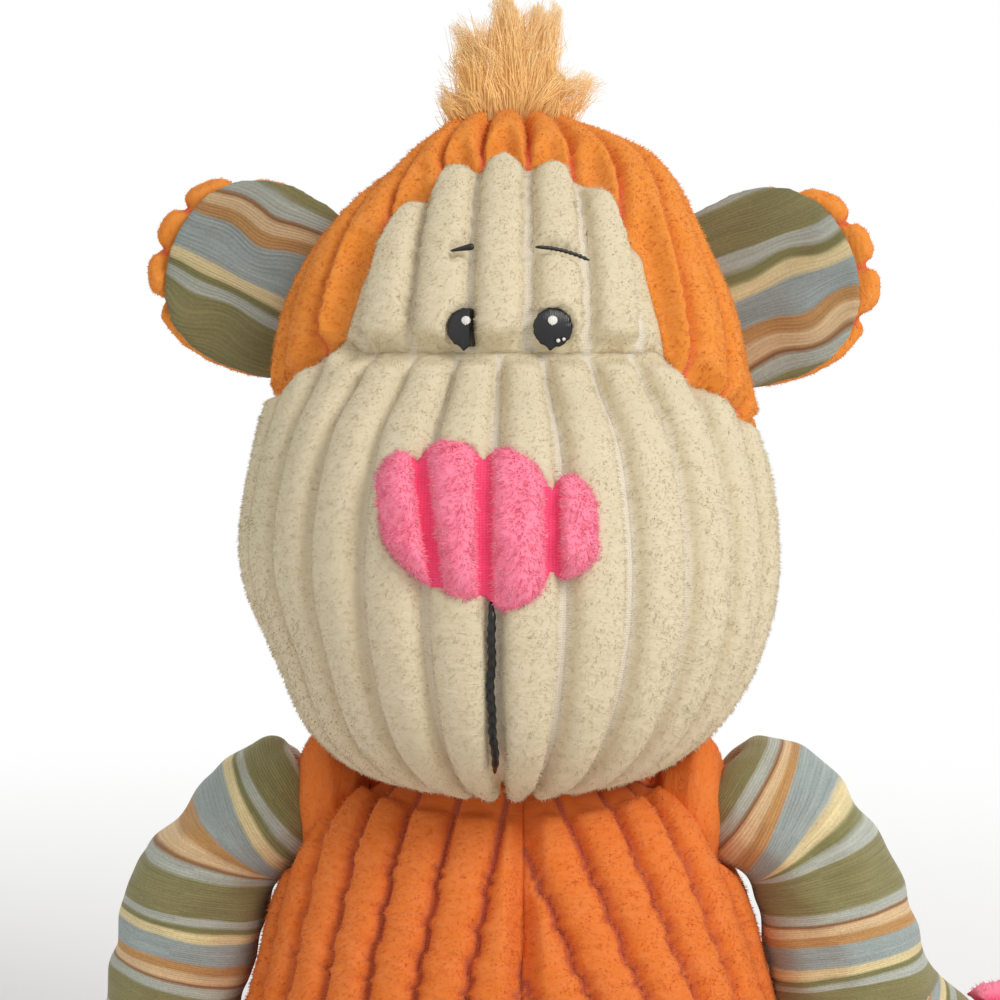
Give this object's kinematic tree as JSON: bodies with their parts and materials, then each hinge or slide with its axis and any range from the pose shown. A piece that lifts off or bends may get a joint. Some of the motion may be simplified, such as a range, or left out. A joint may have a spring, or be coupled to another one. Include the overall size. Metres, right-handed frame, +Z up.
{
  "type": "plush monkey",
  "caption": "Seated stuffed toy monkey with a wide-wale plush body and hood, a pale face, a padded nose, striped jersey limbs and a fur tuft.",
  "frame": {"origin": "middle of the flat seat panel, on the floor that the toy sits on", "axes": "+Z up, -Y the way the toy faces, +X to the toy's own left"},
  "size_m": [0.2213, 0.2814, 0.2729],
  "materials": {
    "orange_plush": "wide-wale plush corduroy",
    "cream_plush": "wide-wale plush corduroy",
    "pink_plush": "wide-wale plush corduroy",
    "striped_knit": "striped jersey knit",
    "black_thread": "embroidery thread",
    "white_thread": "embroidery thread",
    "faux_fur": "long pile fur",
    "seam_cloth": "folded seam allowance",
    "fibrefill": "loose polyester fibre"
  },
  "bodies": {
    "torso": {"body_front_left": "orange_plush", "body_front_right": "orange_plush", "body_back_left": "orange_plush", "body_back_right": "orange_plush", "seat_panel": "orange_plush", "body_stuffing": "fibrefill"},
    "neck": {"neck_seam": "seam_cloth"},
    "head": {"hood_front": "orange_plush", "hood_back": "orange_plush", "face_panel": "cream_plush", "muzzle_panel": "cream_plush", "head_stuffing": "fibrefill", "nose_pad": "pink_plush", "mouth_stitch": "black_thread", "left_eye": "black_thread", "right_eye": "black_thread", "left_eye_glint": "white_thread", "right_eye_glint": "white_thread", "left_brow": "black_thread", "right_brow": "black_thread", "hair_tuft": "faux_fur"},
    "left_ear": {"left_ear_back": "orange_plush", "left_ear_front": "striped_knit"},
    "left_shoulder": {"left_shoulder_seam": "seam_cloth"},
    "left_arm": {"left_sleeve": "striped_knit", "left_arm_stuffing": "fibrefill"},
    "left_hand": {"left_hand": "pink_plush", "left_hand_stuffing": "fibrefill"},
    "left_leg": {"left_leg": "striped_knit", "left_leg_stuffing": "fibrefill"},
    "left_foot": {"left_foot": "pink_plush", "left_foot_stuffing": "fibrefill"},
    "right_ear": {"right_ear_back": "orange_plush", "right_ear_front": "striped_knit"},
    "right_shoulder": {"right_shoulder_seam": "seam_cloth"},
    "right_arm": {"right_sleeve": "striped_knit", "right_arm_stuffing": "fibrefill"},
    "right_hand": {"right_hand": "pink_plush", "right_hand_stuffing": "fibrefill"},
    "right_leg": {"right_leg": "striped_knit", "right_leg_stuffing": "fibrefill"},
    "right_foot": {"right_foot": "pink_plush", "right_foot_stuffing": "fibrefill"},
    "tail": {"tail_cover": "orange_plush", "tail_stuffing": "fibrefill"}
  },
  "joints": [
    {"name": "head_turn", "type": "hinge", "parent": "torso", "child": "neck", "pos_m": [0, 0, 0.084], "axis": [0, 0, 1], "range_deg": [-25, 25], "stiffness_Nm_per_rad": 0.6},
    {"name": "head_nod", "type": "hinge", "parent": "neck", "child": "head", "pos_m": [0, 0, 0.084], "axis": [1, 0, 0], "range_deg": [-12, 4], "stiffness_Nm_per_rad": 1.2},
    {"name": "left_arm_swing", "type": "hinge", "parent": "torso", "child": "left_shoulder", "pos_m": [0.05286, 0, 0.098], "axis": [1, 0, 0], "range_deg": [-85, 35]},
    {"name": "left_arm_raise", "type": "hinge", "parent": "left_shoulder", "child": "left_arm", "pos_m": [0.05286, 0, 0.098], "axis": [0, -1, 0], "range_deg": [0, 60]},
    {"name": "left_wrist", "type": "hinge", "parent": "left_arm", "child": "left_hand", "pos_m": [0.09174, 0.005, 0.043], "axis": [0.0507, 0.0063, 0.9987], "range_deg": [-25, 25], "stiffness_Nm_per_rad": 0.08},
    {"name": "left_hip", "type": "hinge", "parent": "torso", "child": "left_leg", "pos_m": [0.033, -0.03997, 0.017], "axis": [1, 0, 0], "range_deg": [-10, 75]},
    {"name": "left_ankle", "type": "hinge", "parent": "left_leg", "child": "left_foot", "pos_m": [0.05477, -0.12729, 0.017], "axis": [0.9703, 0.2419, 0], "range_deg": [-15, 20], "stiffness_Nm_per_rad": 0.1},
    {"name": "left_ear_fold", "type": "hinge", "parent": "head", "child": "left_ear", "pos_m": [0.0465, 0.003, 0.207], "axis": [-0.2756, 0, 0.9613], "range_deg": [-15, 20], "stiffness_Nm_per_rad": 0.05},
    {"name": "right_arm_swing", "type": "hinge", "parent": "torso", "child": "right_shoulder", "pos_m": [-0.05286, 0, 0.098], "axis": [1, 0, 0], "range_deg": [-85, 35]},
    {"name": "right_arm_raise", "type": "hinge", "parent": "right_shoulder", "child": "right_arm", "pos_m": [-0.05286, 0, 0.098], "axis": [0, 1, 0], "range_deg": [0, 60]},
    {"name": "right_wrist", "type": "hinge", "parent": "right_arm", "child": "right_hand", "pos_m": [-0.0798, 0, 0.038], "axis": [-0.0059, 0.9929, -0.1189], "range_deg": [-8, 25], "stiffness_Nm_per_rad": 0.08},
    {"name": "right_hip", "type": "hinge", "parent": "torso", "child": "right_leg", "pos_m": [-0.033, -0.03997, 0.017], "axis": [1, 0, 0], "range_deg": [-10, 75]},
    {"name": "right_ankle", "type": "hinge", "parent": "right_leg", "child": "right_foot", "pos_m": [-0.05477, -0.12729, 0.017], "axis": [0.9703, -0.2419, 0], "range_deg": [-15, 20], "stiffness_Nm_per_rad": 0.1},
    {"name": "right_ear_fold", "type": "hinge", "parent": "head", "child": "right_ear", "pos_m": [-0.0465, 0.003, 0.207], "axis": [0.2756, 0, 0.9613], "range_deg": [-20, 15], "stiffness_Nm_per_rad": 0.05},
    {"name": "tail_swing", "type": "hinge", "parent": "torso", "child": "tail", "pos_m": [0, 0.05006, 0.024], "axis": [0, 0, 1], "range_deg": [-25, 25]}
  ]
}
